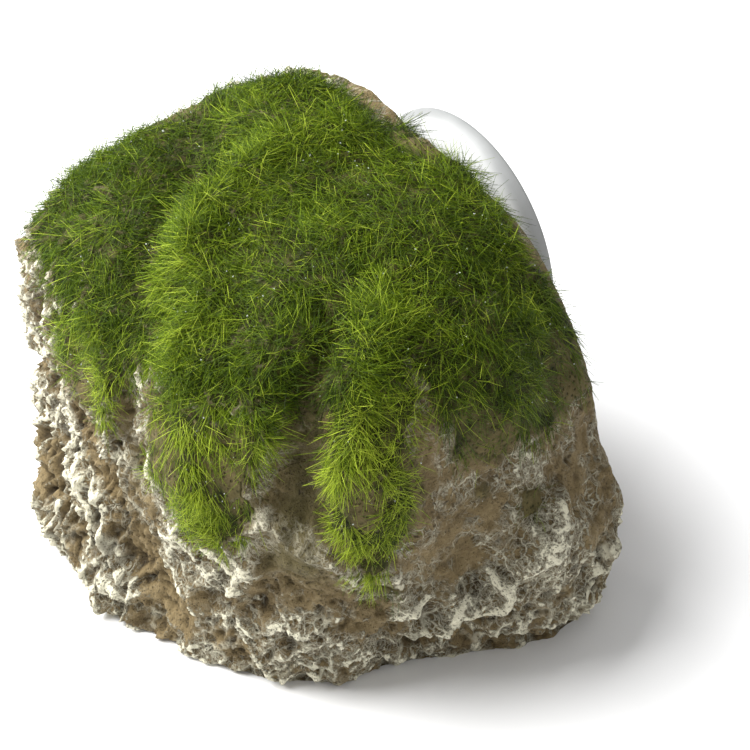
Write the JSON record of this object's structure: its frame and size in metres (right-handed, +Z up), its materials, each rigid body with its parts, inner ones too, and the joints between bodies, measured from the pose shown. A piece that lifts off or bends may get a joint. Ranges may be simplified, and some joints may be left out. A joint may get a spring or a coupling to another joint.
{
  "type": "aquarium moss rock with suction cup",
  "caption": "Cast artificial rock with a rough tufa skin, patches of fibre moss over its top and front, and a clear suction cup on its flat back that holds it to aquarium glass.",
  "frame": {"origin": "under the middle of the whole ornament's box, on the plane that its flat base stands on", "axes": "+X to the right seen from the front, +Y towards the glass, +Z up"},
  "size_m": [0.1064, 0.0874, 0.0833],
  "materials": {
    "cast_stone": "rough cast polyresin, brown wash with cream dry-brushed crests",
    "plain_resin": "plain brown-grey cast resin, fine mould texture",
    "bond": "set two-part resin",
    "socket_plastic": "moulded black plastic",
    "clear_pvc": "soft translucent PVC, smooth",
    "clear_adhesive": "set clear adhesive, glossy, tinted by the fibres in it",
    "moss_fibre": "short nylon fibres, satin"
  },
  "bodies": {
    "stone": {"stone_shell": "cast_stone", "back_plate": "plain_resin", "plate_bond": "bond", "cup_socket": "socket_plastic", "adhesive_crown": "clear_adhesive", "adhesive_left_runner": "clear_adhesive", "adhesive_centre_runner": "clear_adhesive", "adhesive_right_runner": "clear_adhesive", "adhesive_right_apron": "clear_adhesive", "adhesive_stray_tufts": "clear_adhesive", "moss_crown": "moss_fibre", "moss_left_runner": "moss_fibre", "moss_centre_runner": "moss_fibre", "moss_right_runner": "moss_fibre", "moss_right_apron": "moss_fibre", "moss_stray_tufts": "moss_fibre"},
    "cup": {"suction_cup": "clear_pvc"}
  },
  "joints": [
    {"name": "cup_swivel", "type": "hinge", "parent": "stone", "child": "cup", "pos_m": [-0.00956, 0.0342, 0.044], "axis": [0, 1, 0], "continuous": true}
  ]
}
